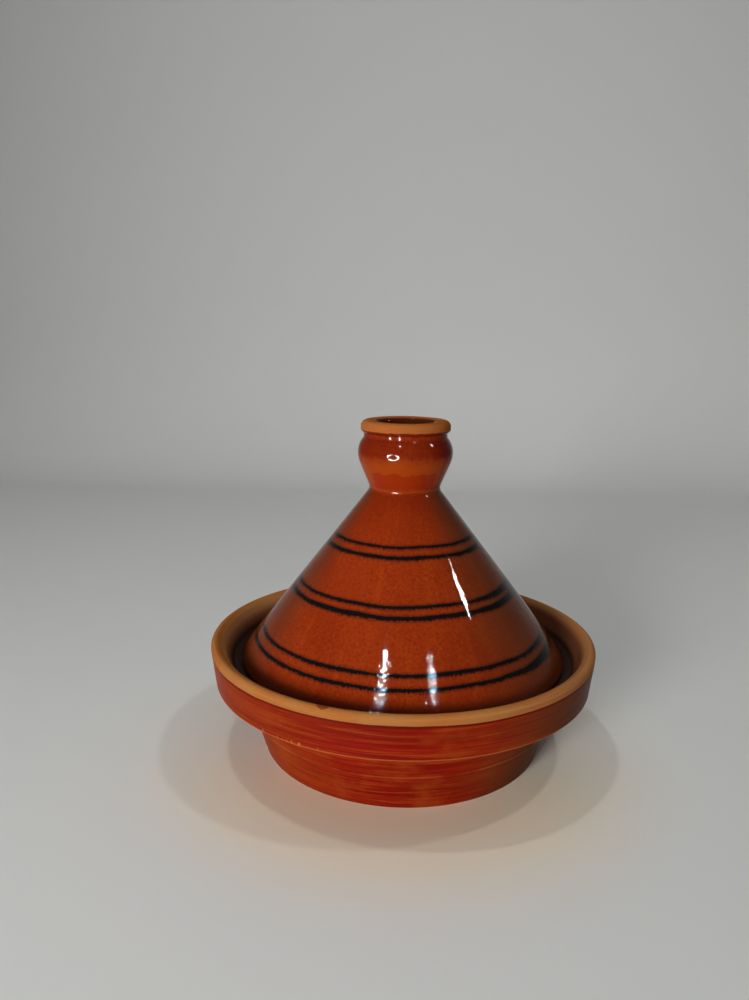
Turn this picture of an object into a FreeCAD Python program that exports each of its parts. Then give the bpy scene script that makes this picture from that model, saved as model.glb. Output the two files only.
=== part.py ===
import FreeCAD, Part
import math
import os

import Sketcher

# Tagine pot in glazed earthenware: a shallow dish whose overhanging collar holds a ledge,
# and a conical lid that stands on that ledge and carries a hollow knob.
# Millimetres, Z up. The origin is the middle of the underside of the dish.

SIZES = {
    # Dish: the rim and the sloping wall inside it
    "rim_radius": 140.0,
    "rim_height": 81.8,
    "rim_width": 8.0,
    "rim_slope": 2.2,
    "rim_outer_round": 4.0,
    "rim_crest_round": 2.5,
    "rim_inner_round": 4.0,
    "gallery_flare": 8.0,
    # Dish: the ledge that the lid stands on
    "seat_depth": 15.8,
    "seat_corner_round": 2.0,
    "seat_edge_round": 2.0,
    "lid_clearance": 3.5,
    # Dish: the collar, the wall under it and the bowl
    "collar_depth": 29.6,
    "collar_lean": 3.3,
    "collar_overhang": 18.7,
    "collar_edge_round": 0.8,
    "collar_root_round": 4.0,
    "foot_radius": 102.0,
    "foot_round": 1.5,
    "dish_wall": 9.5,
    "floor_thickness": 10.0,
    "bowl_round": 26.0,
    # Lid: the cone and the flat crown that takes the knob
    "cone_height": 124.8,
    "lid_wall": 7.0,
    "lid_edge_round": 1.8,
    "lid_inner_round": 1.0,
    "neck_radius": 25.6,
    "neck_round": 5.0,
    "crown_thickness": 9.0,
    "crown_round": 8.0,
    # Lid: the knob, from the neck up to its lip
    "flare_round": 5.0,
    "knob_radius": 34.0,
    "belly_rise": 25.2,
    "belly_round": 20.0,
    "shoulder_rise": 10.8,
    "groove_radius": 29.9,
    "groove_width": 3.0,
    "groove_round": 1.0,
    "lip_flare": 2.0,
    "lip_height": 7.5,
    "lip_radius": 32.0,
    "lip_top_round": 4.0,
    "lip_under_round": 2.5,
    # Lid: the cup inside the knob
    "mouth_radius": 20.6,
    "mouth_depth": 8.5,
    "mouth_round": 4.0,
    "throat_round": 4.0,
    "knob_wall": 7.0,
    "cup_floor": 6.5,
    "cup_floor_round": 6.0,
}

# Places that several outlines share, as sums of the sizes above
RIM_INSIDE = "rim_height - rim_slope"
SEAT_HEIGHT = "rim_height - seat_depth"
COLLAR_HEIGHT = "rim_height - collar_depth"
SEAT_RADIUS = "rim_radius - rim_width - gallery_flare"
LID_RADIUS = SEAT_RADIUS + " - lid_clearance"
WALL_RADIUS = "rim_radius - collar_lean - collar_overhang"
CEILING_HEIGHT = "cone_height - crown_thickness"
GROOVE_HEIGHT = "belly_rise + shoulder_rise"
GROOVE_TOP = GROOVE_HEIGHT + " + groove_width"
LIP_UNDERSIDE = GROOVE_TOP + " + lip_flare"
KNOB_TOP = LIP_UNDERSIDE + " + lip_height"
ON_AXIS = ""
ON_BASE = ""

# How a sketch numbers the points of an edge, and its own two axes
START, END, CENTRE = range(1, 4)
TURNING_AXIS, BASE_AXIS = range(-2, 0)
SAME_HEIGHT = 1e-6


def amount(formula):
    """Return a sum of sizes such as 'rim_radius - rim_width' in millimetres."""
    total = 0.0
    sign = 1.0
    for word in formula.split():
        if word in "+-":
            sign = 1.0 if word == "+" else -1.0
        else:
            total += sign * SIZES[word]
    return total


def expression(formula):
    """Return the same sum as an expression on the cells of the sheet."""
    return " ".join(word if word in "+-" else "sizes." + word for word in formula.split())


def make_sheet(doc):
    """Write every size into a cell that is known by the size's name."""
    sheet = doc.addObject("Spreadsheet::Sheet", "sizes")
    for row, (name, value) in enumerate(SIZES.items(), start=1):
        sheet.set(f"A{row}", name)
        sheet.set(f"B{row}", str(value))
        sheet.setAlias(f"B{row}", name)
    doc.recompute()


class Outline:
    """A closed half-section beside the turning axis, drawn anticlockwise, X outward and Y up."""

    def __init__(self, radius, height):
        self.corners = [(radius, height, "both")]
        self.edges = []

    def line_to(self, radius, height, fixed="both", smooth=False):
        """Run straight to a corner; smooth makes the next edge leave it without a kink."""
        self.edges.append({"smooth": smooth})
        self.corners.append((radius, height, fixed))

    def arc_to(self, radius, height, upright, bend="", hollow=False, fixed="both", smooth=False):
        """Curve to a corner; the arc runs upright at its start or end, and bend is its radius."""
        self.edges.append({"upright": upright, "bend": bend, "hollow": hollow, "smooth": smooth})
        self.corners.append((radius, height, fixed))

    def draw(self, body, name):
        """Draw the outline as a sketch of the body and close it back to its first corner."""
        self.edges.append({"smooth": False})
        self.sketch = body.newObject("Sketcher::SketchObject", name)
        plane = next(item for item in body.Origin.OriginFeatures if item.Role == "XZ_Plane")
        self.sketch.AttachmentSupport = (plane, [""])
        self.sketch.MapMode = "FlatFace"
        points = [FreeCAD.Vector(amount(radius), amount(height)) for radius, height, _ in self.corners]
        for number, edge in enumerate(self.edges):
            following = points[(number + 1) % len(points)]
            if "upright" in edge:
                self.sketch.addGeometry(self.arc(points[number], following, edge))
            else:
                self.sketch.addGeometry(Part.LineSegment(points[number], following))
        for number, edge in enumerate(self.edges):
            self.join(number, edge)
            self.dimension_corner(number)
            if "upright" in edge:
                self.dimension_arc(number, edge)
        if self.sketch.solve() != 0:
            raise RuntimeError(f"{name} has no solution")
        return self.sketch

    def arc(self, start, end, edge):
        """Return a first guess at an arc; a hollow one is traced clockwise."""
        chord = end - start
        bend = max(amount(edge["bend"]), chord.Length)
        side = -1.0 if edge["hollow"] else 1.0
        across = FreeCAD.Vector(-chord.y, chord.x).normalize() * side
        centre = (start + end) * 0.5 + across * math.sqrt(bend**2 - (chord.Length / 2) ** 2)
        first, last = (end, start) if edge["hollow"] else (start, end)
        circle = Part.Circle(centre, FreeCAD.Vector(0, 0, 1), bend)
        return Part.ArcOfCircle(circle, circle.parameter(first), circle.parameter(last))

    def near(self, number):
        """Return which point of an edge comes first along the outline."""
        return END if self.edges[number].get("hollow") else START

    def far(self, number):
        """Return which point of an edge comes last along the outline."""
        return START if self.edges[number].get("hollow") else END

    def join(self, number, edge):
        """Tie the end of an edge to the start of the next."""
        following = (number + 1) % len(self.edges)
        kind = "Tangent" if edge["smooth"] else "Coincident"
        ends = (number, self.far(number), following, self.near(following))
        self.sketch.addConstraint(Sketcher.Constraint(kind, *ends))

    def dimension_corner(self, number):
        """Place the corner where an edge starts by its radius and height."""
        radius, height, fixed = self.corners[number]
        point = (number, self.near(number))
        if fixed in ("both", "radius"):
            self.dimension("DistanceX", point, radius, TURNING_AXIS)
        if fixed in ("both", "height"):
            self.dimension("DistanceY", point, height, BASE_AXIS)

    def dimension_arc(self, number, edge):
        """Make an arc upright at one end and give it its radius."""
        point = self.near(number) if edge["upright"] == "start" else self.far(number)
        self.sketch.addConstraint(Sketcher.Constraint("Horizontal", number, CENTRE, number, point))
        if edge["bend"]:
            bend = Sketcher.Constraint("Radius", number, amount(edge["bend"]))
            self.bind(self.sketch.addConstraint(bend), edge["bend"])

    def dimension(self, kind, point, formula, axis):
        """Dimension a point from the origin, or hold it on the axis where no sum is given."""
        if formula:
            rule = Sketcher.Constraint(kind, BASE_AXIS, START, *point, amount(formula))
            self.bind(self.sketch.addConstraint(rule), formula)
        else:
            self.sketch.addConstraint(Sketcher.Constraint("PointOnObject", *point, axis))

    def bind(self, rule, formula):
        """Bind a dimension of the sketch to the sheet."""
        self.sketch.setExpression(f"Constraints[{rule}]", expression(formula))


def new_body(doc, name, height):
    """Start a sub-part that stands at a height given as a sum of sizes."""
    body = doc.addObject("PartDesign::Body", name)
    body.Label = name
    if height:
        body.setExpression(".Placement.Base.z", expression(height))
    return body


def turn(body, sketch):
    """Turn an outline once round the axis, as on the wheel."""
    turned = body.newObject("PartDesign::Revolution", sketch.Name + "_turned")
    turned.Profile = sketch
    turned.ReferenceAxis = (sketch, ["V_Axis"])
    turned.Angle = 360.0
    body.Document.recompute()


def ring_at(shape, height, side):
    """Return the name of the innermost or outermost round edge at a height."""
    rings = []
    for number, edge in enumerate(shape.Edges, start=1):
        if isinstance(edge.Curve, Part.Circle) and abs(edge.Curve.Center.z - height) < SAME_HEIGHT:
            rings.append((edge.Curve.Radius, f"Edge{number}"))
    return min(rings)[1] if side == "inner" else max(rings)[1]


def round_ring(body, size, height, side):
    """Round one edge of the turned form with a fillet bound to its size."""
    base = body.Tip
    fillet = body.newObject("PartDesign::Fillet", size)
    fillet.Base = (base, [ring_at(base.Shape, amount(height), side)])
    fillet.setExpression("Radius", expression(size))
    body.Document.recompute()


def make_dish(doc):
    """Flat foot, flared wall, overhanging collar and the ledge inside it."""
    body = new_body(doc, "dish", ON_BASE)
    outline = Outline(ON_AXIS, ON_BASE)
    outline.line_to("foot_radius", ON_BASE)
    outline.line_to(WALL_RADIUS, COLLAR_HEIGHT)
    outline.line_to("rim_radius - collar_lean", COLLAR_HEIGHT)
    outline.line_to("rim_radius", "rim_height - rim_outer_round")
    outline.arc_to("rim_radius - rim_outer_round", "rim_height", upright="start")
    outline.line_to("rim_radius - rim_width", RIM_INSIDE)
    outline.line_to(SEAT_RADIUS, SEAT_HEIGHT)
    outline.line_to(WALL_RADIUS + " - dish_wall", SEAT_HEIGHT)
    outline.line_to("foot_radius - dish_wall", "floor_thickness")
    outline.line_to(ON_AXIS, "floor_thickness")
    turn(body, outline.draw(body, "dish_outline"))
    round_ring(body, "bowl_round", "floor_thickness", "outer")
    round_ring(body, "collar_root_round", COLLAR_HEIGHT, "inner")
    round_ring(body, "collar_edge_round", COLLAR_HEIGHT, "outer")
    round_ring(body, "rim_inner_round", RIM_INSIDE, "inner")
    round_ring(body, "rim_crest_round", "rim_height", "inner")
    round_ring(body, "seat_corner_round", SEAT_HEIGHT, "outer")
    round_ring(body, "seat_edge_round", SEAT_HEIGHT, "inner")
    round_ring(body, "foot_round", ON_BASE, "outer")
    return body


def make_lid_cone(doc):
    """Hollow cone with an even wall, a flat foot ring and a closed flat crown."""
    body = new_body(doc, "lid_cone", SEAT_HEIGHT)
    inner_foot = LID_RADIUS + " - lid_wall"
    outline = Outline(LID_RADIUS, ON_BASE)
    outline.line_to("neck_radius", "cone_height - neck_round", fixed="neither", smooth=True)
    outline.arc_to("neck_radius", "cone_height", upright="end", bend="neck_round", hollow=True)
    outline.line_to(ON_AXIS, "cone_height")
    outline.line_to(ON_AXIS, CEILING_HEIGHT)
    outline.line_to("neck_radius", CEILING_HEIGHT, fixed="height")
    outline.line_to(inner_foot, ON_BASE, fixed="height")
    sketch = outline.draw(body, "cone_outline")
    outer_line = 0
    inner_line = 5
    sketch.addConstraint(Sketcher.Constraint("Parallel", outer_line, inner_line))
    wall = Sketcher.Constraint("Distance", inner_line, END, outer_line, amount("lid_wall"))
    outline.bind(sketch.addConstraint(wall), "lid_wall")
    turn(body, sketch)
    round_ring(body, "crown_round", CEILING_HEIGHT, "outer")
    round_ring(body, "lid_edge_round", ON_BASE, "outer")
    round_ring(body, "lid_inner_round", ON_BASE, "inner")
    return body


def make_lid_knob(doc):
    """Small thrown cup: hollow flare, round belly, groove and rolled lip."""
    body = new_body(doc, "lid_knob", SEAT_HEIGHT + " + cone_height")
    mouth_foot = KNOB_TOP + " - mouth_depth"
    outline = Outline(ON_AXIS, ON_BASE)
    outline.line_to("neck_radius", ON_BASE)
    outline.arc_to("neck_radius", "flare_round", upright="start", bend="flare_round", hollow=True,
                   fixed="neither", smooth=True)
    outline.line_to("lip_radius", "belly_rise - flare_round", fixed="neither", smooth=True)
    outline.arc_to("knob_radius", "belly_rise", upright="end", bend="belly_round")
    outline.arc_to("groove_radius", GROOVE_HEIGHT, upright="start")
    outline.line_to("groove_radius", GROOVE_TOP)
    outline.line_to("lip_radius", LIP_UNDERSIDE)
    outline.line_to("lip_radius", KNOB_TOP)
    outline.line_to("mouth_radius", KNOB_TOP)
    outline.line_to("mouth_radius", mouth_foot)
    outline.arc_to("knob_radius - knob_wall", "belly_rise", upright="end", hollow=True)
    outline.arc_to("neck_radius - knob_wall", "cup_floor", upright="start", hollow=True)
    outline.line_to(ON_AXIS, "cup_floor")
    turn(body, outline.draw(body, "knob_outline"))
    round_ring(body, "groove_round", GROOVE_HEIGHT, "outer")
    round_ring(body, "groove_round", GROOVE_TOP, "outer")
    round_ring(body, "lip_under_round", LIP_UNDERSIDE, "outer")
    round_ring(body, "lip_top_round", KNOB_TOP, "outer")
    round_ring(body, "mouth_round", KNOB_TOP, "inner")
    round_ring(body, "throat_round", mouth_foot, "inner")
    round_ring(body, "cup_floor_round", "cup_floor", "outer")
    return body


def check(doc, bodies):
    """Stop if any feature failed or any sub-part isn't one sound solid."""
    doc.recompute()
    for item in doc.Objects:
        if "Invalid" in item.State or "Error" in item.State:
            raise RuntimeError(f"{item.Label} failed: {item.State}")
    for body in bodies:
        if body.Shape.isNull() or not body.Shape.isValid() or len(body.Shape.Solids) != 1:
            raise RuntimeError(f"{body.Label} isn't one sound solid")


def main():
    doc = FreeCAD.newDocument("tagine_pot")
    make_sheet(doc)
    bodies = [make_dish(doc), make_lid_cone(doc), make_lid_knob(doc)]
    check(doc, bodies)
    os.makedirs("parts", exist_ok=True)
    for body in bodies:
        body.Shape.exportStep(os.path.join("parts", body.Label + ".step"))


main()
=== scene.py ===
import math

import bmesh
import bpy
from mathutils import Matrix, Vector, noise


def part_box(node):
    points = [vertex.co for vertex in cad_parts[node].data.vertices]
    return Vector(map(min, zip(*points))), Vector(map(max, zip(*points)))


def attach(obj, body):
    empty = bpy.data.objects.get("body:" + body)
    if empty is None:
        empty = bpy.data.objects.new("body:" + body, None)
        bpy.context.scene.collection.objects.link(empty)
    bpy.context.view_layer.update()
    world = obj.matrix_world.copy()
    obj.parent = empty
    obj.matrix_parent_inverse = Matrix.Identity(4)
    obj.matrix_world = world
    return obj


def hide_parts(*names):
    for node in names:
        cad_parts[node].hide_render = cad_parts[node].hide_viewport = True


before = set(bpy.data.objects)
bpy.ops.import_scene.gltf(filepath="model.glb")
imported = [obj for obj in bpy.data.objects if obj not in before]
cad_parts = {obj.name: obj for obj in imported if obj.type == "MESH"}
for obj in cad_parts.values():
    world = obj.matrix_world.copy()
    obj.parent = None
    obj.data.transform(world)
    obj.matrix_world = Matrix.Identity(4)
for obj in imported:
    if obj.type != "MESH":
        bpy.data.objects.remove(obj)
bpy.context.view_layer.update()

# Tagine pot in glazed earthenware, dressed over its turned solids. Metres, Z up.

MM = 0.001

# Sizes that the solids give
_, DISH_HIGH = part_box("dish")
CONE_LOW, CONE_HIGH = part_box("lid_cone")
_, KNOB_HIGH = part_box("lid_knob")
RIM_RADIUS = max(DISH_HIGH[0], DISH_HIGH[1])
SEAT_HEIGHT = CONE_LOW[2]
SEAM_HEIGHT = CONE_HIGH[2]
KNOB_RADIUS = max(KNOB_HIGH[0], KNOB_HIGH[1])
KNOB_TOP = KNOB_HIGH[2]

# Dish
RIM_HEIGHT = SEAT_HEIGHT + 15.8 * MM
RIM_WIDTH = 8.0 * MM
RIM_SLOPE = 2.2 * MM
RIM_UPRIGHT = 4.0 * MM
RIM_OUTER_ROUND = 3.3 * MM
RIM_INNER_ROUND = 4.0 * MM
SEAT_RADIUS = RIM_RADIUS - RIM_WIDTH - 8.0 * MM
SEAT_ROUND = 2.0 * MM
COLLAR_HEIGHT = RIM_HEIGHT - 29.6 * MM
COLLAR_RADIUS = RIM_RADIUS - 3.3 * MM
COLLAR_EDGE_ROUND = 0.8 * MM
COLLAR_ROOT_ROUND = 4.0 * MM
WALL_RADIUS = COLLAR_RADIUS - 18.7 * MM
FOOT_RADIUS = 102.0 * MM
FOOT_ROUND = 1.5 * MM
DISH_WALL = 9.5 * MM
FLOOR_THICKNESS = 10.0 * MM
BOWL_ROUND = 26.0 * MM
BARE_RIM_HEIGHT = RIM_HEIGHT - 6.0 * MM
GLAZE_THICKNESS = 0.15 * MM
RIDGE_HEIGHT = 26.0 * MM
RIDGE_RISE = 0.35 * MM
RIDGE_SPREAD = 0.7 * MM
RIDGE_WANDER = 0.8 * MM
DISH_SWELL = 0.35 * MM
DISH_RINGS = 0.10 * MM
RIM_SWELL = 0.35 * MM

# Lid
LID_RADIUS = SEAT_RADIUS - 3.5 * MM
LID_WALL = 7.0 * MM
LID_EDGE_ROUND = 1.8 * MM
LID_INNER_ROUND = 1.0 * MM
NECK_RADIUS = 25.6 * MM
NECK_ROUND = 5.0 * MM
CROWN_THICKNESS = 9.0 * MM
CROWN_ROUND = 8.0 * MM
CONE_SWELL = 0.3 * MM
CONE_RINGS = 0.04 * MM

# Knob
FLARE_ROUND = 5.0 * MM
BELLY_HEIGHT = SEAM_HEIGHT + 25.2 * MM
BELLY_ROUND = 20.0 * MM
GROOVE_RADIUS = 29.9 * MM
GROOVE_HEIGHT = BELLY_HEIGHT + 10.8 * MM
GROOVE_TOP = GROOVE_HEIGHT + 3.0 * MM
GROOVE_ROUND = 1.0 * MM
LIP_RADIUS = 32.0 * MM
LIP_UNDERSIDE = GROOVE_TOP + 2.0 * MM
LIP_TOP_ROUND = 4.0 * MM
LIP_UNDER_ROUND = 2.5 * MM
MOUTH_RADIUS = 20.6 * MM
MOUTH_FOOT = KNOB_TOP - 8.5 * MM
MOUTH_ROUND = 4.0 * MM
KNOB_WALL = 7.0 * MM
CUP_FLOOR = SEAM_HEIGHT + 6.5 * MM
CUP_FLOOR_ROUND = 6.0 * MM
BARE_LIP_HEIGHT = LIP_UNDERSIDE + 0.2 * MM
LIP_DIP = 1.2 * MM
KNOB_SWELL = 0.25 * MM
KNOB_RINGS = 0.01 * MM
LIP_SWELL = 0.2 * MM

# Painted bands on the lid: height of the middle, half the width, and how much wider it grows at +X
BANDS = [
    (157.8 * MM, 0.95 * MM, 0.2),
    (151.8 * MM, 1.2 * MM, 0.2),
    (124.9 * MM, 1.0 * MM, 0.8),
    (119.1 * MM, 1.35 * MM, 0.4),
    (90.0 * MM, 1.15 * MM, 0.1),
    (83.0 * MM, 1.15 * MM, 0.9),
]
BAND_WANDER = 2.6 * MM
BAND_HALO = 1.5 * MM
BRISTLE_UP = 1.8 * MM
BRISTLE_DOWN = 2.4 * MM

# Marks of use and of the glazing, by their angle round the pot from +X
DRIP_ANGLE = math.radians(-109.4)
DRIP_LENGTH = 1.6 * MM
DRIP_WIDTH = 4.2 * MM
DRIP_RAGGED = 2 * MM
PATCH_ANGLE = math.radians(-92)
NICKS_FROM = math.radians(-132)
NICKS_TO = math.radians(-108)
# How high the painted shade of dark brown reaches on the inner collar wall, by direction
INNER_DARK_ANGLE = math.radians(30)
INNER_DARK_RISE = 3.2 * MM
INNER_DARK_FALL = -2.4 * MM

# Colours, linear
AMBER = (0.240, 0.0260, 0.0040, 1)
RED_AMBER = (0.170, 0.0130, 0.0020, 1)
PALE_AMBER = (0.330, 0.0500, 0.0045, 1)
DEEP_RED = (0.105, 0.0052, 0.0018, 1)
PATCH_RED = (0.245, 0.0135, 0.0030, 1)
BAND_BLACK = (0.0050, 0.0044, 0.0040, 1)
# Painted shade for the sides of the lid and the dish
SHADED_SIDE_BROWN = (0.076, 0.0320, 0.0110, 1)
DISH_RED = (0.225, 0.0072, 0.0026, 1)
DISH_DARK = (0.145, 0.0052, 0.0022, 1)
DISH_ORANGE = (0.275, 0.0410, 0.0055, 1)
EDGE_ORANGE = (0.480, 0.1150, 0.0260, 1)
INNER_GLAZE_AND_SHADE = (0.110, 0.0340, 0.0130, 1)
# Painted shade inside the hollow knob and at the foot of the lid
SHADE_BROWN = (0.050, 0.0110, 0.0030, 1)
LEDGE_SHADE = (0.014, 0.0060, 0.0040, 1)
LIP_ORANGE = (0.340, 0.0800, 0.0020, 1)
CLAY = (0.355, 0.1370, 0.0320, 1)
CLAY_ORANGE = (0.355, 0.1120, 0.0220, 1)
CLAY_PALE = (0.420, 0.1900, 0.0680, 1)
CLAY_DARK = (0.220, 0.0660, 0.0150, 1)
CLAY_LIT_PALE = (0.430, 0.1950, 0.0800, 1)
FLOOR_GREY = (0.745, 0.7500, 0.7350, 1)
FLOOR_DULL = (0.705, 0.7100, 0.7050, 1)
FLOOR_BOUNCE_GLOW = (0.890, 0.7250, 0.5000, 1)

# Fineness of the meshes, and how the coats shine
FINE = 0.9 * MM
MEDIUM = 2.0 * MM
COARSE = 7.0 * MM
ARC_STEP = math.radians(9)
SEGMENTS = 288
GLAZE_ROUGHNESS = 0.03
SATIN_ROUGHNESS = 0.33
GLAZE_SHINE = 0.055
SATIN_SHINE = 0.012
GLAZE_IOR = 1.5
CONE_RELIEF = 0.12 * MM
KNOB_RELIEF = 0.09 * MM
DISH_RELIEF = 0.14 * MM
FLOOR_ROUGHNESS = 0.9

# Room round the pot, measured from the pot's middle
ROOM_HALF_WIDTH = 2.7
ROOM_FRONT = -2.7
ROOM_BACK = 1.4
ROOM_CORNER = 0.9
ROOM_BEND = 0.35
ROOM_WALL = 2.7
ROOM_STEPS = 12
ROOM_GLOW_COLOUR = (0.97, 1.0, 1.0, 1)
ROOM_GLOW = 0.12

# Ring lamp
RING_PLACE = Vector((-0.30, -0.55, 0.15))
RING_RADIUS = 0.15
RING_THICKNESS = 0.011
RING_SQUASH = 0.8
RING_STRENGTH = 700
RING_COLOUR = (1, 0.98, 0.95, 1)

# Camera
CAMERA_PLACE = Vector((0, -538.6, 283.6)) * MM
CAMERA_YAW = math.radians(-2.308)
CAMERA_PITCH = math.radians(10.849)
CAMERA_ROLL = math.radians(0.641)
CAMERA_LENS = 27.2
CAMERA_SENSOR = 36


def arc_points(centre, radius, first, last):
    """Points on an arc in the plane of radius and height, both ends included."""
    turn = abs(last - first)
    count = max(2, math.ceil(turn / ARC_STEP), math.ceil(turn * radius / FINE))
    angles = [first + (last - first) * step / count for step in range(count + 1)]
    return [centre + Vector((math.cos(angle), math.sin(angle))) * radius for angle in angles]


def rounded(before, corner, after, radius):
    """Points of the arc that rounds one corner of an outline."""
    back = (before - corner).normalized()
    ahead = (after - corner).normalized()
    half = back.angle(ahead) / 2
    centre = corner + (back + ahead).normalized() * (radius / math.sin(half))
    reach = radius / math.tan(half)
    first = corner + back * reach - centre
    last = corner + ahead * reach - centre
    start = math.atan2(first.y, first.x)
    turn = math.remainder(math.atan2(last.y, last.x) - start, math.tau)
    return arc_points(centre, radius, start, start + turn)


def outline(corners):
    """Turn corners (point, round, spacing of the points after it) into a close run of points."""
    stretches = []
    last = len(corners) - 1
    for number, (point, radius, _) in enumerate(corners):
        if radius and 0 < number < last:
            stretches.append(rounded(corners[number - 1][0], point, corners[number + 1][0], radius))
        else:
            stretches.append([point])
    points = list(stretches[0])
    for number in range(1, len(corners)):
        start = points[-1]
        end = stretches[number][0]
        count = max(1, math.ceil((end - start).length / corners[number - 1][2]))
        points += [start.lerp(end, step / count) for step in range(1, count)]
        points += stretches[number]
    return points


def at(radius, height):
    return Vector((radius, height))


def dish_outline():
    """Half-section of the dish, from the middle of its underside to the middle of its bowl."""
    return outline([
        (at(0, 0), 0, COARSE),
        (at(FOOT_RADIUS, 0), FOOT_ROUND, FINE),
        (at(WALL_RADIUS, COLLAR_HEIGHT), COLLAR_ROOT_ROUND, MEDIUM),
        (at(COLLAR_RADIUS, COLLAR_HEIGHT), COLLAR_EDGE_ROUND, FINE),
        (at(RIM_RADIUS, RIM_HEIGHT - RIM_UPRIGHT), 0, FINE),
        (at(RIM_RADIUS, RIM_HEIGHT + RIM_SLOPE), RIM_OUTER_ROUND, FINE),
        (at(RIM_RADIUS - RIM_WIDTH, RIM_HEIGHT - RIM_SLOPE), RIM_INNER_ROUND, FINE),
        (at(SEAT_RADIUS, SEAT_HEIGHT), SEAT_ROUND, MEDIUM),
        (at(WALL_RADIUS - DISH_WALL, SEAT_HEIGHT), SEAT_ROUND, MEDIUM),
        (at(FOOT_RADIUS - DISH_WALL, FLOOR_THICKNESS), BOWL_ROUND, COARSE),
        (at(0, FLOOR_THICKNESS), 0, COARSE),
    ])


def cone_outline():
    """Half-section of the cone, from the middle of its crown to the middle of its ceiling."""
    tilt = cone_tilt()
    inner_foot = LID_RADIUS - LID_WALL / math.cos(tilt)
    ceiling = SEAM_HEIGHT - CROWN_THICKNESS
    inner_top = inner_foot - (ceiling - SEAT_HEIGHT) * math.tan(tilt)
    neck_centre = at(NECK_RADIUS + NECK_ROUND, SEAM_HEIGHT)
    neck = arc_points(neck_centre, NECK_ROUND, math.pi, math.pi + tilt)
    points = [at(0, SEAM_HEIGHT), at(NECK_RADIUS / 2, SEAM_HEIGHT)] + neck
    points += outline([
        (neck[-1], 0, FINE),
        (at(LID_RADIUS, SEAT_HEIGHT), LID_EDGE_ROUND, FINE),
        (at(inner_foot, SEAT_HEIGHT), LID_INNER_ROUND, COARSE),
        (at(inner_top, ceiling), CROWN_ROUND, COARSE),
        (at(0, ceiling), 0, COARSE),
    ])[1:]
    return points


def cone_tilt():
    """Angle of the cone from upright, with its side tangent to the round of the neck."""
    across = LID_RADIUS - NECK_RADIUS - NECK_ROUND
    rise = SEAM_HEIGHT - SEAT_HEIGHT
    return math.atan2(across, rise) + math.asin(NECK_ROUND / math.hypot(across, rise))


def knob_outline():
    """Half-section of the knob, from the middle of its foot to the middle of its cup."""
    across = NECK_RADIUS + FLARE_ROUND - (KNOB_RADIUS - BELLY_ROUND)
    rise = BELLY_HEIGHT - SEAM_HEIGHT
    flare = math.asin((FLARE_ROUND + BELLY_ROUND) / math.hypot(across, rise))
    flare -= math.atan2(across, rise)
    foot_centre = at(NECK_RADIUS + FLARE_ROUND, SEAM_HEIGHT)
    foot = arc_points(foot_centre, FLARE_ROUND, math.pi, math.pi - flare)
    belly = arc_points(at(KNOB_RADIUS - BELLY_ROUND, BELLY_HEIGHT), BELLY_ROUND, -flare, 0)
    side = outline([(foot[-1], 0, FINE), (belly[0], 0, FINE)])[1:-1]
    shoulder = upright_arc(at(KNOB_RADIUS, BELLY_HEIGHT), at(GROOVE_RADIUS, GROOVE_HEIGHT))
    cup_side = KNOB_RADIUS - KNOB_WALL
    cup_upper = upright_arc(at(cup_side, BELLY_HEIGHT), at(MOUTH_RADIUS, MOUTH_FOOT))[::-1]
    cup_lower = upright_arc(at(cup_side, BELLY_HEIGHT), at(NECK_RADIUS - KNOB_WALL, CUP_FLOOR))
    lip = outline([
        (shoulder[-2], 0, FINE),
        (at(GROOVE_RADIUS, GROOVE_HEIGHT), GROOVE_ROUND, FINE),
        (at(GROOVE_RADIUS, GROOVE_TOP), GROOVE_ROUND, FINE),
        (at(LIP_RADIUS, LIP_UNDERSIDE), LIP_UNDER_ROUND, FINE),
        (at(LIP_RADIUS, KNOB_TOP), LIP_TOP_ROUND, FINE),
        (at(MOUTH_RADIUS, KNOB_TOP), MOUTH_ROUND, FINE),
        (cup_upper[0], 0, FINE),
    ])
    cup_foot = outline([(cup_lower[-3], 0, FINE), (cup_lower[-1], CUP_FLOOR_ROUND / 2, COARSE),
                        (at(0, CUP_FLOOR), 0, COARSE)])
    points = [at(0, SEAM_HEIGHT), at(NECK_RADIUS / 2, SEAM_HEIGHT)] + foot + side + belly
    return points + shoulder[1:-2] + lip + cup_upper[1:] + cup_lower[1:-3] + cup_foot


def upright_arc(upright, end):
    """Points of the arc that leaves one point upright and passes through another."""
    across = upright.x - end.x
    rise = end.y - upright.y
    radius = (across**2 + rise**2) / (2 * across)
    return arc_points(at(upright.x - radius, upright.y), radius, 0, math.asin(rise / radius))


def ripple(angle, height, turns, size):
    """Smooth wander of the potter's hand over a turned wall, from -1 to 1."""
    return noise.noise(Vector((math.cos(angle) * turns, math.sin(angle) * turns, height / size)))


def dish_wear(angle, radius, height):
    """Move one point of the dish as the hand and the turning tool left it."""
    outward = DISH_SWELL * ripple(angle, height, 0.9, 0.2)
    upward = 0.0
    if radius > FOOT_RADIUS * 0.97 and height > 1 * MM:
        outward += DISH_RINGS * ripple(angle + 3, height, 0.35, 2.6 * MM)
        ridge = (height - RIDGE_HEIGHT - RIDGE_WANDER * ripple(angle, 0, 0.8, 1)) / RIDGE_SPREAD
        if abs(ridge) < 3 and radius < WALL_RADIUS:
            outward += RIDGE_RISE * math.exp(-ridge * ridge)
    if radius > RIM_RADIUS - RIM_WIDTH / 2 and height < BARE_RIM_HEIGHT:
        outward += GLAZE_THICKNESS
    if height > RIM_HEIGHT - 8 * MM:
        upward = RIM_SWELL * ripple(angle, 5, 1.1, 1)
    return outward, upward


def cone_wear(angle, radius, height):
    """Move one point of the cone: slow swells of the thrown wall and faint throwing rings."""
    if height > SEAM_HEIGHT - 3 * MM or height < SEAT_HEIGHT + 1 * MM:
        return 0.0, 0.0
    swell = CONE_SWELL * ripple(angle, height, 0.9, 90 * MM)
    rings = CONE_RINGS * ripple(angle + 1, height, 0.4, 6 * MM)
    return swell + rings, 0.0


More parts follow.
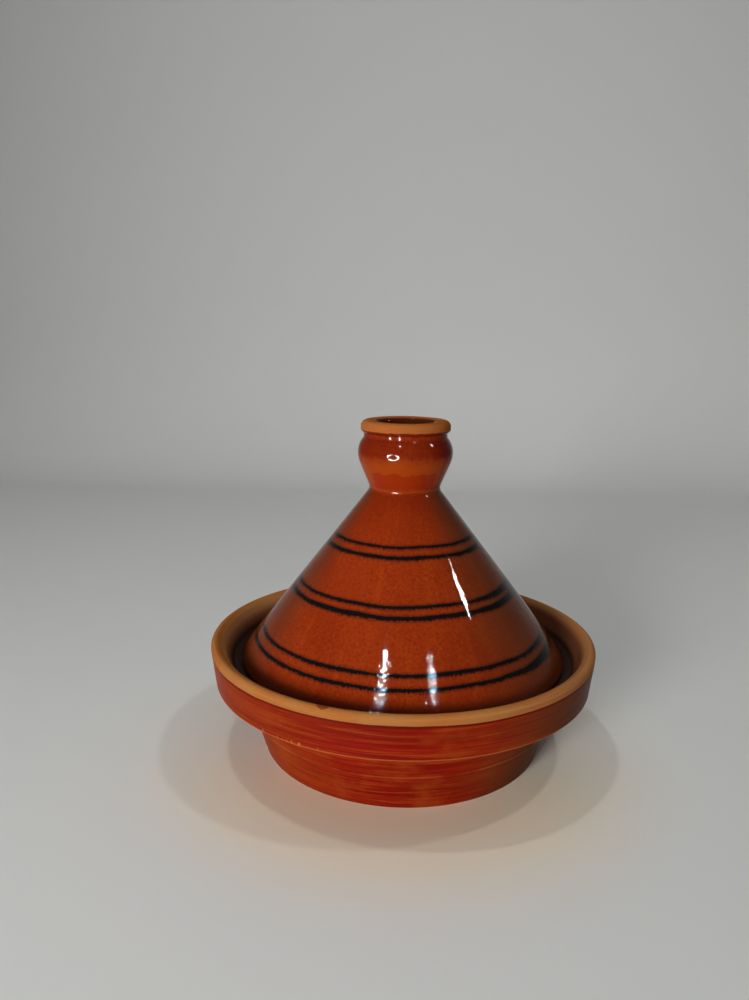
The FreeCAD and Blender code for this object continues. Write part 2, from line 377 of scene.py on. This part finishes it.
def knob_wear(angle, radius, height):
    """Move one point of the knob: a slightly uneven belly and lip."""
    if height < SEAM_HEIGHT + 2 * MM:
        return 0.0, 0.0
    outward = KNOB_SWELL * ripple(angle + 2, height, 0.8, 20 * MM)
    outward += KNOB_RINGS * ripple(angle, height, 0.4, 3 * MM)
    lift = min(1, max(0, (height - GROOVE_HEIGHT) / (KNOB_TOP - GROOVE_HEIGHT)))
    dip = LIP_DIP * (1 - math.sin(angle)) / 2
    return outward, lift * (LIP_SWELL * ripple(angle, 9, 0.9, 1) - dip)


def lathe(name, points, wear):
    """Turn an outline that starts and ends on the axis into a smooth mesh with a wrapped map."""
    rings = points[1:-1]
    lengths = [0.0]
    for number in range(1, len(points)):
        lengths.append(lengths[-1] + (points[number] - points[number - 1]).length)
    vertices = [(0, 0, points[0].y), (0, 0, points[-1].y)]
    for point in rings:
        for segment in range(SEGMENTS):
            angle = math.tau * segment / SEGMENTS
            outward, upward = wear(angle, point.x, point.y)
            radius = point.x + outward
            vertices.append((math.cos(angle) * radius, math.sin(angle) * radius, point.y + upward))
    faces = []
    for segment in range(SEGMENTS):
        following = (segment + 1) % SEGMENTS
        faces.append((0, 2 + following, 2 + segment))
        end = 2 + (len(rings) - 1) * SEGMENTS
        faces.append((1, end + segment, end + following))
    for ring in range(len(rings) - 1):
        low = 2 + ring * SEGMENTS
        for segment in range(SEGMENTS):
            following = (segment + 1) % SEGMENTS
            faces.append((low + segment, low + following, low + SEGMENTS + following,
                          low + SEGMENTS + segment))
    mesh = bpy.data.meshes.new(name)
    mesh.from_pydata(vertices, [], faces)
    wrap(mesh, lengths)
    tidy = bmesh.new()
    tidy.from_mesh(mesh)
    bmesh.ops.recalc_face_normals(tidy, faces=tidy.faces)
    tidy.to_mesh(mesh)
    tidy.free()
    mesh.polygons.foreach_set("use_smooth", [True] * len(mesh.polygons))
    piece = bpy.data.objects.new(name, mesh)
    bpy.context.scene.collection.objects.link(piece)
    return piece


def wrap(mesh, lengths):
    """Lay the turned surface out flat: once round across, along the outline upwards."""
    layer = mesh.uv_layers.new(name="OFBake")
    for polygon in mesh.polygons:
        corners = [mesh.loops[loop].vertex_index for loop in polygon.loop_indices]
        segments = [(corner - 2) % SEGMENTS for corner in corners if corner > 1]
        split = max(segments) - min(segments) > 1
        for loop, corner in zip(polygon.loop_indices, corners):
            segment = (corner - 2) % SEGMENTS if corner > 1 else min(segments) + 0.5
            if split and segment < SEGMENTS / 2:
                segment += SEGMENTS
            ring = (corner - 2) // SEGMENTS + 1 if corner > 1 else (len(lengths) - 1) * corner
            layer.data[loop].uv = (segment / SEGMENTS, lengths[ring] / lengths[-1])


class Graph:
    """A material's nodes, written as plain calls."""

    def __init__(self, name):
        self.material = bpy.data.materials.new(name)
        self.material.use_nodes = True
        self.tree = self.material.node_tree
        self.shader = self.tree.nodes["Principled BSDF"]
        self.place = self.node("ShaderNodeTexCoord").outputs["Object"]
        parts = self.node("ShaderNodeSeparateXYZ", Vector=self.place)
        self.height = parts.outputs["Z"]
        flat = self.node("ShaderNodeCombineXYZ", X=parts.outputs["X"], Y=parts.outputs["Y"])
        length = self.node("ShaderNodeVectorMath", {"operation": "LENGTH"}, Vector=flat.outputs[0])
        self.radius = length.outputs["Value"]
        around = self.node("ShaderNodeVectorMath", {"operation": "NORMALIZE"},
                           Vector=flat.outputs[0])
        self.around = around.outputs["Vector"]

    def node(self, kind, settings=None, **inputs):
        """Add a node; inputs are numbers, colours or the outputs of other nodes."""
        node = self.tree.nodes.new(kind)
        for name, value in (settings or {}).items():
            setattr(node, name, value)
        for name, value in inputs.items():
            self.feed(node.inputs[name], value)
        return node

    def feed(self, socket, value):
        if isinstance(value, bpy.types.NodeSocket):
            self.tree.links.new(value, socket)
        else:
            socket.default_value = value

    def math(self, operation, first, second=0.0):
        node = self.tree.nodes.new("ShaderNodeMath")
        node.operation = operation
        self.feed(node.inputs[0], first)
        self.feed(node.inputs[1], second)
        return node.outputs[0]

    def blend(self, value, low, high, first=0.0, last=1.0):
        """Slide smoothly from first to last as value goes from low to high."""
        node = self.node("ShaderNodeMapRange", {"interpolation_type": "SMOOTHSTEP"})
        sockets = ("Value", "From Min", "From Max", "To Min", "To Max")
        for name, given in zip(sockets, (value, low, high, first, last)):
            self.feed(node.inputs[name], given)
        return node.outputs["Result"]

    def mix(self, factor, first, second):
        node = self.node("ShaderNodeMix", {"data_type": "RGBA"})
        self.feed(node.inputs[0], factor)
        self.feed(node.inputs[6], first)
        self.feed(node.inputs[7], second)
        return node.outputs[2]

    def cloud(self, vector, scale, detail=2.0, roughness=0.5):
        """Noise from 0 to 1."""
        node = self.node("ShaderNodeTexNoise", Vector=vector, Scale=scale, Detail=detail,
                         Roughness=roughness)
        return node.outputs[0]

    def turned(self, turns, lift, detail=2.0, roughness=0.5):
        """Noise that goes round the pot without a seam, with its own scale along the outline."""
        turn = self.node("ShaderNodeSeparateXYZ", Vector=self.around)
        vector = self.node("ShaderNodeCombineXYZ",
                           X=self.math("MULTIPLY", turn.outputs["X"], turns),
                           Y=self.math("MULTIPLY", turn.outputs["Y"], turns),
                           Z=self.math("MULTIPLY", self.height, lift))
        node = self.node("ShaderNodeTexNoise", {"noise_dimensions": "4D"}, Vector=vector.outputs[0],
                         W=self.math("MULTIPLY", self.radius, lift), Scale=1.0, Detail=detail,
                         Roughness=roughness)
        return node.outputs[0]

    def across(self, value, scale):
        """Noise value turned into a wander either side of zero."""
        return self.math("MULTIPLY", self.math("SUBTRACT", value, 0.5), scale)

    def facing(self, angle):
        """Cosine of the angle between a point of the pot and a direction round it."""
        direction = (math.cos(angle), math.sin(angle), 0)
        node = self.node("ShaderNodeVectorMath", {"operation": "DOT_PRODUCT"})
        self.feed(node.inputs[0], self.around)
        self.feed(node.inputs[1], direction)
        return node.outputs["Value"]

    def near(self, value, middle, reach, strength=1.0):
        """Full at a middle value, fading to nothing at reach either side of it."""
        away = self.math("ABSOLUTE", self.math("SUBTRACT", value, middle))
        return self.blend(away, 0.3 * reach, reach, strength, 0)

    def both(self, first, second):
        return self.math("MULTIPLY", first, second)

    def bump(self, height, distance):
        node = self.node("ShaderNodeBump", Height=height, Distance=distance, Strength=1.0)
        self.feed(self.shader.inputs["Normal"], node.outputs["Normal"])

    def finish(self, colour, roughness):
        self.feed(self.shader.inputs["Base Color"], colour)
        self.feed(self.shader.inputs["Roughness"], roughness)
        self.shader.inputs["IOR"].default_value = GLAZE_IOR
        return self.material


def clay(graph):
    """Bare terracotta: warm grain with fine turning lines."""
    grain = graph.cloud(graph.place, 900, 3)
    lines = graph.turned(1.2, 1100, 3)
    tone = graph.cloud(graph.place, 35, 3)
    colour = graph.mix(graph.blend(tone, 0.35, 0.7), CLAY, CLAY_ORANGE)
    colour = graph.mix(graph.blend(lines, 0.5, 0.72, 0, 0.7), colour, CLAY_PALE)
    colour = graph.mix(graph.blend(lines, 0.45, 0.3, 0, 0.5), colour, CLAY_DARK)
    colour = graph.mix(graph.blend(grain, 0.55, 0.8, 0, 0.35), colour, CLAY_DARK)
    relief = graph.math("ADD", graph.both(grain, 0.4), lines)
    return colour, relief


def band_mask(graph):
    """Hand-painted rings whose edges bleed downwards in short bristles."""
    shift = graph.across(graph.turned(2.2, 6, 2), BAND_WANDER)
    swell = graph.turned(3.0, 60, 3)
    bristle = graph.turned(100, 330, 3, 0.75)
    height = graph.math("ADD", graph.height, shift)
    right = graph.blend(graph.facing(0), 0.55, 0.97)
    mask = None
    for middle, half, growth in BANDS:
        away = graph.math("SUBTRACT", height, middle)
        below = graph.math("LESS_THAN", away, 0.0)
        reach = graph.math("ADD", graph.both(below, BRISTLE_DOWN), BRISTLE_UP)
        ragged = graph.both(graph.math("SUBTRACT", bristle, 0.5), reach)
        thick = graph.across(swell, 1.1 * half)
        wide = graph.both(right, growth * half)
        grown = graph.math("ADD", graph.math("ADD", ragged, thick), wide)
        edge = graph.math("SUBTRACT", graph.math("ABSOLUTE", away), grown)
        halo = graph.blend(edge, half, half + BAND_HALO, 0.45, 0)
        band = graph.blend(edge, half - 0.4 * MM, half + 0.3 * MM, 1, 0)
        band = graph.math("MAXIMUM", band, halo)
        mask = band if mask is None else graph.math("MAXIMUM", mask, band)
    return mask


def glaze_colour(graph):
    """Amber glaze with clouds, runs and fine mottling."""
    clouds = graph.cloud(graph.place, 26, 4)
    runs = graph.turned(16, 9, 4)
    mottle = graph.cloud(graph.place, 560, 4, 0.65)
    colour = graph.mix(graph.blend(clouds, 0.40, 0.72, 0, 0.55), AMBER, RED_AMBER)
    colour = graph.mix(graph.blend(runs, 0.5, 0.8, 0, 0.5), colour, PALE_AMBER)
    colour = graph.mix(graph.blend(mottle, 0.48, 0.66, 0, 0.75), colour, RED_AMBER)
    colour = graph.mix(graph.blend(mottle, 0.45, 0.28, 0, 0.6), colour, PALE_AMBER)
    return colour, mottle


def lid_material():
    graph = Graph("lid_glaze")
    colour, _ = glaze_colour(graph)
    # Redder towards the neck, and darker red low on the skirt: partly the glaze, partly painted
    # shade from the rim.
    neck = graph.blend(graph.height, SEAM_HEIGHT - 45 * MM, SEAM_HEIGHT - 5 * MM, 0, 0.4)
    skirt = graph.blend(graph.height, SEAT_HEIGHT + 4 * MM, SEAT_HEIGHT + 18 * MM, 0.45, 0)
    colour = graph.mix(graph.math("MAXIMUM", neck, skirt), colour, RED_AMBER)
    # Browner towards the left and right edges of the lid: painted shade.
    left_shade = graph.blend(graph.facing(math.pi), 0.7, 0.98, 0, 0.5)
    right_shade = graph.blend(graph.facing(0), 0.35, 0.9, 0, 0.6)
    colour = graph.mix(graph.math("ADD", left_shade, right_shade), colour, SHADED_SIDE_BROWN)
    # Dark brown low on the lid, in the gap above the rim: painted shade.
    foot_shade = graph.blend(graph.height, SEAT_HEIGHT + 4 * MM, SEAT_HEIGHT + 11 * MM, 0.75, 0)
    colour = graph.mix(foot_shade, colour, SHADE_BROWN)
    colour = graph.mix(graph.near(graph.height, SEAM_HEIGHT, 1.2 * MM, 0.6), colour, PALE_AMBER)
    colour = graph.mix(band_mask(graph), colour, BAND_BLACK)
    bare, grain = clay(graph)
    foot = graph.blend(graph.height, SEAT_HEIGHT + 0.6 * MM, SEAT_HEIGHT + 1.2 * MM, 1, 0)
    inside = graph.blend(cone_depth(graph), 2 * MM, 3 * MM)
    bare_mask = graph.math("MAXIMUM", foot, inside)
    colour = graph.mix(bare_mask, colour, bare)
    roughness = graph.blend(bare_mask, 0, 1, GLAZE_ROUGHNESS, 1)
    peel = graph.cloud(graph.place, 240, 2)
    grit = graph.cloud(graph.place, 430, 1, 0.5)
    specks = graph.blend(graph.height, SEAT_HEIGHT + 12 * MM, SEAT_HEIGHT + 50 * MM, 1.0, 0.03)
    relief = graph.math("ADD", graph.both(peel, 0.12), graph.both(grit, specks))
    relief = graph.math("ADD", relief, graph.both(grain, bare_mask))
    graph.bump(relief, CONE_RELIEF)
    graph.shader.inputs["Specular IOR Level"].default_value = GLAZE_SHINE
    return graph.finish(colour, roughness)


def cone_depth(graph):
    """How far a point lies inside the cone's outer side, measured level."""
    rise = graph.math("SUBTRACT", graph.height, SEAT_HEIGHT)
    side = graph.math("SUBTRACT", LID_RADIUS, graph.both(rise, math.tan(cone_tilt())))
    return graph.math("SUBTRACT", side, graph.radius)


def knob_material():
    graph = Graph("knob_glaze")
    colour, mottle = glaze_colour(graph)
    level = graph.math("ADD", graph.height, graph.across(graph.turned(3.5, 60, 3), 8 * MM))
    upper = graph.blend(level, BELLY_HEIGHT - 3 * MM, BELLY_HEIGHT + 0.5 * MM, 0, 0.43)
    shoulder = graph.blend(graph.height, GROOVE_HEIGHT + 1 * MM, GROOVE_HEIGHT - 1 * MM, 0.2, 1)
    upper = graph.both(upper, shoulder)
    # Darker red on the right side of the upper belly: painted shade.
    shaded_side = graph.both(upper, graph.blend(graph.facing(0), 0.45, 0.9, 0, 2.1))
    patch = graph.blend(level, SEAM_HEIGHT + 13 * MM, SEAM_HEIGHT + 12 * MM, 0, 0.65)
    above_seam = graph.blend(graph.height, SEAM_HEIGHT + 1.5 * MM, SEAM_HEIGHT + 2.5 * MM)
    patch = graph.both(patch, above_seam)
    patch = graph.both(patch, graph.blend(graph.facing(PATCH_ANGLE), 0.62, 0.72))
    colour = graph.mix(graph.near(level, SEAM_HEIGHT + 12 * MM, 14 * MM, 0.75), colour, PALE_AMBER)
    colour = graph.mix(patch, colour, PATCH_RED)
    colour = graph.mix(upper, colour, DEEP_RED)
    colour = graph.mix(shaded_side, colour, DEEP_RED)
    colour = graph.mix(graph.near(graph.height, SEAM_HEIGHT, 1.2 * MM, 0.6), colour, PALE_AMBER)
    colour = graph.mix(graph.near(level, GROOVE_TOP + 1 * MM, 1.6 * MM, 0.5), colour, DEEP_RED)
    bare, grain = clay(graph)
    bare = graph.mix(0.88, bare, LIP_ORANGE)
    edge = graph.math("ADD", graph.height, graph.across(graph.turned(6, 60), 1.8 * MM))
    lip = graph.blend(edge, BARE_LIP_HEIGHT - 0.3 * MM, BARE_LIP_HEIGHT + 0.3 * MM)
    outside = graph.blend(graph.radius, MOUTH_RADIUS + 1.2 * MM, MOUTH_RADIUS + 2.6 * MM)
    bare_mask = graph.both(lip, outside)
    # Dark brown inside the hollow knob: painted shade.
    low = graph.blend(graph.height, KNOB_TOP - 0.5 * MM, KNOB_TOP - 2 * MM)
    inside = graph.math("SUBTRACT", cup_limit(graph), graph.radius)
    cup = graph.both(low, graph.blend(inside, 0, 0.7 * MM))
    colour = graph.mix(cup, colour, SHADE_BROWN)
    colour = graph.mix(bare_mask, colour, bare)
    roughness = graph.blend(bare_mask, 0, 1, GLAZE_ROUGHNESS, 1)
    peel = graph.cloud(graph.place, 240, 2)
    relief = graph.math("ADD", graph.both(peel, 0.05), graph.both(mottle, 0.01))
    relief = graph.math("ADD", relief, graph.both(grain, bare_mask))
    graph.bump(relief, KNOB_RELIEF)
    graph.shader.inputs["Specular IOR Level"].default_value = GLAZE_SHINE
    return graph.finish(colour, roughness)


def cup_limit(graph):
    """Radius that parts the inside of the knob from its outside at each height."""
    steep = (KNOB_RADIUS - NECK_RADIUS) / (BELLY_HEIGHT - SEAM_HEIGHT)
    rise = graph.math("SUBTRACT", graph.height, SEAM_HEIGHT)
    flare = graph.math("ADD", graph.both(rise, steep), NECK_RADIUS - KNOB_WALL / 2)
    return graph.math("MINIMUM", flare, MOUTH_RADIUS + 5 * MM)


def dish_material():
    graph = Graph("dish_glaze")
    broad = graph.turned(1.6, 170, 3)
    streaks = graph.turned(2.2, 700, 4, 0.65)
    clouds = graph.turned(4, 40, 3)
    mottle = graph.cloud(graph.place, 600, 3)
    # Paler orange towards the left and right of the dish: painted sheen.
    side_sheen = graph.blend(graph.math("ABSOLUTE", graph.facing(0)), 0.15, 0.8, 0, 0.55)
    colour = graph.mix(graph.blend(broad, 0.36, 0.62, 0, 0.8), DISH_RED, DISH_DARK)
    colour = graph.mix(side_sheen, colour, DISH_ORANGE)
    # Browner on the right of the dish: painted shade.
    right_shade = graph.blend(graph.facing(0), 0.3, 0.85, 0, 0.75)
    colour = graph.mix(graph.blend(clouds, 0.46, 0.7, 0, 0.75), colour, DISH_ORANGE)
    colour = graph.mix(graph.blend(streaks, 0.5, 0.68, 0, 0.9), colour, DISH_ORANGE)
    colour = graph.mix(graph.blend(streaks, 0.48, 0.34, 0, 0.8), colour, DISH_DARK)
    colour = graph.mix(graph.blend(mottle, 0.55, 0.75, 0, 0.3), colour, DISH_DARK)
    colour = graph.mix(right_shade, colour, SHADED_SIDE_BROWN)
    ridge = graph.math("ADD", graph.height, graph.across(graph.turned(1.4, 0.1), 2.5 * MM))
    ridge = graph.near(ridge, RIDGE_HEIGHT, 0.9 * MM, 0.3)
    ridge = graph.both(ridge, graph.blend(clouds, 0.42, 0.56, 0.1, 1))
    colour = graph.mix(ridge, colour, EDGE_ORANGE)
    edge = graph.blend(graph.height, COLLAR_HEIGHT + 1.5 * MM, COLLAR_HEIGHT + 0.7 * MM)
    overhang = graph.blend(graph.radius, COLLAR_RADIUS - 1.1 * MM, COLLAR_RADIUS - 0.5 * MM)
    colour = graph.mix(graph.both(graph.both(edge, overhang), 0.6), colour, EDGE_ORANGE)
    colour = graph.mix(nick_mask(graph), colour, CLAY_PALE)
    # Dark brown inside the dish: the glaze of the bowl, and painted shade low on the inner wall of
    # the collar.
    rim_inside = RIM_RADIUS - RIM_WIDTH
    inner = graph.blend(graph.radius, rim_inside + 0.5 * MM, rim_inside - 0.5 * MM)
    above = graph.blend(graph.height, FLOOR_THICKNESS - 2 * MM, FLOOR_THICKNESS - 1 * MM)
    inner = graph.both(inner, above)
    inner = graph.both(inner, graph.blend(wall_depth(graph), 3 * MM, 4 * MM))
    colour = graph.mix(inner, colour, INNER_GLAZE_AND_SHADE)
    # Nearly black on the ledge the lid sits on: painted shade.
    ledge_shade = graph.blend(graph.height, SEAT_HEIGHT + 5 * MM, SEAT_HEIGHT + 1 * MM)
    ledge_shade = graph.both(ledge_shade, graph.blend(graph.radius, WALL_RADIUS - DISH_WALL, WALL_RADIUS))
    colour = graph.mix(graph.both(graph.both(ledge_shade, inner), 0.9), colour, LEDGE_SHADE)
    bare, grain = clay(graph)
    # Paler, greyer clay on the inner part of the rim and on the right: painted light.
    pale_light = graph.blend(graph.radius, RIM_RADIUS - 6 * MM, RIM_RADIUS - 10 * MM, 0, 0.7)
    pale_light = graph.math("MAXIMUM", pale_light, graph.blend(graph.facing(0), 0.4, 0.95, 0, 0.5))
    bare = graph.mix(pale_light, bare, CLAY_LIT_PALE)
    level = graph.math("ADD", graph.height, graph.across(graph.turned(5, 60, 4), 1.6 * MM))
    line = graph.near(level, BARE_RIM_HEIGHT - 0.5 * MM, 1.2 * MM, 0.9)
    colour = graph.mix(graph.both(line, graph.math("SUBTRACT", 1.0, inner)), colour, DEEP_RED)
    # Bare clay at the top of the inner collar wall, dark brown below it as painted shade, reaching
    # higher towards the back right.
    rise = graph.blend(graph.facing(INNER_DARK_ANGLE), -0.9, 0.7, INNER_DARK_FALL, INNER_DARK_RISE)
    gallery = graph.math("SUBTRACT", graph.height, rise)
    gallery = graph.blend(gallery, SEAT_HEIGHT + 6 * MM, RIM_HEIGHT - 1 * MM)
    inward = graph.blend(graph.radius, RIM_RADIUS - 2 * MM, RIM_RADIUS - 4 * MM)
    gallery = graph.both(gallery, inward)
    outer = graph.blend(level, BARE_RIM_HEIGHT - 0.2 * MM, BARE_RIM_HEIGHT + 0.3 * MM)
    outer = graph.both(outer, graph.blend(graph.radius, RIM_RADIUS - 6 * MM, RIM_RADIUS - 4 * MM))
    rim = graph.math("MAXIMUM", outer, gallery)
    under = graph.blend(graph.height, 0.2 * MM, 0.8 * MM, 1, 0)
    bare_mask = graph.math("MAXIMUM", rim, under)
    colour = graph.mix(bare_mask, colour, bare)
    colour = graph.mix(graph.both(drip_mask(graph), 0.75), colour, DISH_DARK)
    roughness = graph.blend(bare_mask, 0, 1, SATIN_ROUGHNESS, 1)
    relief = graph.math("ADD", graph.both(streaks, 0.7), graph.both(mottle, 0.2))
    relief = graph.math("ADD", relief, graph.both(grain, bare_mask))
    graph.bump(relief, DISH_RELIEF)
    graph.shader.inputs["Specular IOR Level"].default_value = SATIN_SHINE
    return graph.finish(colour, roughness)


def wall_depth(graph):
    """How far a point lies inside the lower wall of the dish, measured level."""
    slope = (WALL_RADIUS - FOOT_RADIUS) / COLLAR_HEIGHT
    side = graph.math("ADD", graph.both(graph.height, slope), FOOT_RADIUS)
    upper = graph.math("GREATER_THAN", graph.height, COLLAR_HEIGHT + 3 * MM)
    side = graph.math("ADD", side, graph.both(upper, RIM_RADIUS))
    return graph.math("SUBTRACT", side, graph.radius)


def nick_mask(graph):
    """Small chips along the lower edge of the collar on one side."""
    middle = (NICKS_FROM + NICKS_TO) / 2
    half = (NICKS_TO - NICKS_FROM) / 2
    place = graph.blend(graph.facing(middle), math.cos(half * 1.15), math.cos(half * 0.7))
    chips = graph.blend(graph.turned(95, 40, 2), 0.57, 0.64, 0, 0.6)
    low = graph.blend(graph.height, COLLAR_HEIGHT + 3.2 * MM, COLLAR_HEIGHT + 1.8 * MM)
    edge = graph.blend(graph.radius, COLLAR_RADIUS - 1.5 * MM, COLLAR_RADIUS - 0.5 * MM)
    return graph.both(graph.both(place, chips), graph.both(low, edge))


def drip_mask(graph):
    """One drip of glaze on the bare rim, wide at the crest and pointed below."""
    fall = graph.blend(graph.height, RIM_HEIGHT - DRIP_LENGTH, RIM_HEIGHT)
    ragged = graph.across(graph.cloud(graph.place, 400), DRIP_RAGGED)
    width = graph.math("ADD", graph.both(fall, DRIP_WIDTH), ragged)
    turn = graph.math("ARCCOSINE", graph.math("MINIMUM", graph.facing(DRIP_ANGLE), 1.0))
    reach = graph.both(turn, graph.radius)
    inside = graph.math("SUBTRACT", width, reach)
    outer = graph.blend(graph.radius, RIM_RADIUS - 4.5 * MM, RIM_RADIUS - 3.5 * MM)
    return graph.both(graph.blend(inside, 0, 0.5 * MM), outer)


def floor_material():
    graph = Graph("pale_floor")
    tone = graph.cloud(graph.place, 3, 2)
    # Warm glow on the floor round the pot, strongest in front: painted bounce light.
    near = graph.blend(graph.radius, RIM_RADIUS * 0.85, RIM_RADIUS * 1.6, 0.8, 0)
    near = graph.both(near, graph.blend(graph.facing(-math.pi / 2), 0.0, 0.9, 0.35, 1))
    colour = graph.mix(graph.blend(tone, 0.3, 0.7, 0, 0.06), FLOOR_GREY, FLOOR_DULL)
    colour = graph.mix(near, colour, FLOOR_BOUNCE_GLOW)
    graph.shader.inputs["Specular IOR Level"].default_value = 0
    return graph.finish(colour, FLOOR_ROUGHNESS)


def dress(name, node, body, points, wear, material):
    """Make one piece in place of its solid."""
    piece = lathe(name, points, wear)
    piece.data.materials.append(material)
    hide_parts(node)
    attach(piece, body)


def room_path():
    """Points round the foot of the walls, corners rounded, each with its outward direction."""
    right = ROOM_HALF_WIDTH - ROOM_CORNER
    back = ROOM_BACK - ROOM_CORNER
    front = ROOM_FRONT + ROOM_CORNER
    centres = [(right, back), (-right, back), (-right, front), (right, front)]
    for quarter, (x, y) in enumerate(centres):
        for step in range(ROOM_STEPS + 1):
            angle = (quarter + step / ROOM_STEPS) * math.pi / 2
            outward = Vector((math.cos(angle), math.sin(angle), 0))
            yield Vector((x, y, 0)) + outward * ROOM_CORNER, outward


def make_room():
    """Pale photo room: a level floor that curves up into a plain wall on every side."""
    path = list(room_path())
    turns = [step * math.pi / 2 / ROOM_STEPS for step in range(ROOM_STEPS + 1)]
    rows = [(ROOM_BEND * (1 - math.sin(turn)), ROOM_BEND * (1 - math.cos(turn))) for turn in turns]
    rows.append((0.0, ROOM_WALL))
    vertices = [place - outward * inset + Vector((0, 0, height)) for inset, height in rows
                for place, outward in path]
    count = len(path)
    faces = [tuple(range(count))]
    for row in range(len(rows) - 1):
        for number in range(count):
            following = (number + 1) % count
            faces.append((row * count + number, (row + 1) * count + number,
                          (row + 1) * count + following, row * count + following))
    mesh = bpy.data.meshes.new("room")
    mesh.from_pydata(vertices, [], faces)
    mesh.polygons.foreach_set("use_smooth", [False] + [True] * (len(faces) - 1))
    mesh.materials.append(floor_material())
    room = bpy.data.objects.new("room", mesh)
    bpy.context.scene.collection.objects.link(room)


def add_lamp(name, position, power, size, tall=None, spread=180, fills=True, glints=False):
    """Area lamp that points at the pot; some lamps fill and others only glint in the glaze."""
    lamp = bpy.data.lights.new(name, "AREA")
    lamp.energy = power
    lamp.shape = "RECTANGLE" if tall else "DISK"
    lamp.size = size
    if tall:
        lamp.size_y = tall
    lamp.spread = math.radians(spread)
    holder = bpy.data.objects.new(name, lamp)
    holder.location = position
    aim = Vector((0, 0, RIM_HEIGHT)) - Vector(position)
    holder.rotation_euler = aim.to_track_quat("-Z", "Y").to_euler()
    holder.visible_camera = False
    holder.visible_diffuse = fills
    holder.visible_glossy = glints
    bpy.context.scene.collection.objects.link(holder)


def add_ring_lamp():
    """Small ring lamp in front of the pot, which the knob mirrors as a bright ring."""
    lamp = Graph("ring_lamp")
    lamp.shader.inputs["Base Color"].default_value = (0, 0, 0, 1)
    lamp.shader.inputs["Emission Color"].default_value = RING_COLOUR
    lamp.shader.inputs["Emission Strength"].default_value = RING_STRENGTH
    bpy.ops.mesh.primitive_torus_add(major_radius=RING_RADIUS, minor_radius=RING_THICKNESS,
                                     major_segments=48, minor_segments=10, location=RING_PLACE)
    ring = bpy.context.object
    ring.name = "ring_lamp"
    aim = Vector((0, 0, SEAM_HEIGHT)) - RING_PLACE
    ring.rotation_euler = aim.to_track_quat("Z", "Y").to_euler()
    ring.scale = (1, RING_SQUASH, 1)
    ring.data.materials.append(lamp.material)
    ring.visible_camera = False
    ring.visible_shadow = False
    ring.visible_diffuse = False


def light_studio():
    """Soft light from the front left and above, with small lamps that glint in the glaze."""
    add_lamp("soft_front", (-0.8, -1.6, 0.45), power=7.5, size=0.6, spread=90)
    add_lamp("soft_above", (-0.3, 0.1, 2.2), power=3.4, size=2.4)
    add_lamp("overhead_right", (0.86, 0.0, 2.0), power=4.0, size=0.12)
    add_lamp("overhead_left", (-0.42, 0.0, 2.15), power=4.0, size=0.12, glints=True)
    add_lamp("glint_left", (-0.56, -1.86, 2.42), power=50, size=0.1, fills=False, glints=True)
    add_lamp("glint_right", (0.98, -1.8, 2.35), power=14, size=0.045, fills=False, glints=True)
    add_lamp("glint_side", (2.05, -0.3, 1.9), power=30, size=0.16, tall=0.2, fills=False,
             glints=True)
    add_ring_lamp()
    world = bpy.data.worlds.new("room")
    world.use_nodes = True
    background = world.node_tree.nodes["Background"]
    background.inputs["Color"].default_value = ROOM_GLOW_COLOUR
    background.inputs["Strength"].default_value = ROOM_GLOW
    bpy.context.scene.world = world


def place_camera():
    """Camera where the photograph was taken, a little above the pot and turned slightly left."""
    level = math.cos(CAMERA_PITCH)
    forward = Vector((math.sin(CAMERA_YAW) * level, math.cos(CAMERA_YAW) * level,
                      -math.sin(CAMERA_PITCH)))
    right = Vector((math.cos(CAMERA_YAW), -math.sin(CAMERA_YAW), 0))
    up = right.cross(forward)
    across = right * math.cos(CAMERA_ROLL) + up * math.sin(CAMERA_ROLL)
    upward = up * math.cos(CAMERA_ROLL) - right * math.sin(CAMERA_ROLL)
    turn = Matrix((across, upward, -forward)).transposed().to_4x4()
    camera = bpy.data.cameras.new("camera")
    camera.sensor_width = CAMERA_SENSOR
    camera.lens = CAMERA_LENS
    camera.clip_start = 0.01
    holder = bpy.data.objects.new("camera", camera)
    holder.matrix_world = Matrix.Translation(CAMERA_PLACE) @ turn
    bpy.context.scene.collection.objects.link(holder)
    bpy.context.scene.camera = holder


dress("dish_thrown", "dish", "base", dish_outline(), dish_wear, dish_material())
dress("cone_thrown", "lid_cone", "lid", cone_outline(), cone_wear, lid_material())
dress("knob_thrown", "lid_knob", "lid", knob_outline(), knob_wear, knob_material())
make_room()
light_studio()
place_camera()
bpy.context.scene.view_settings.view_transform = "Standard"
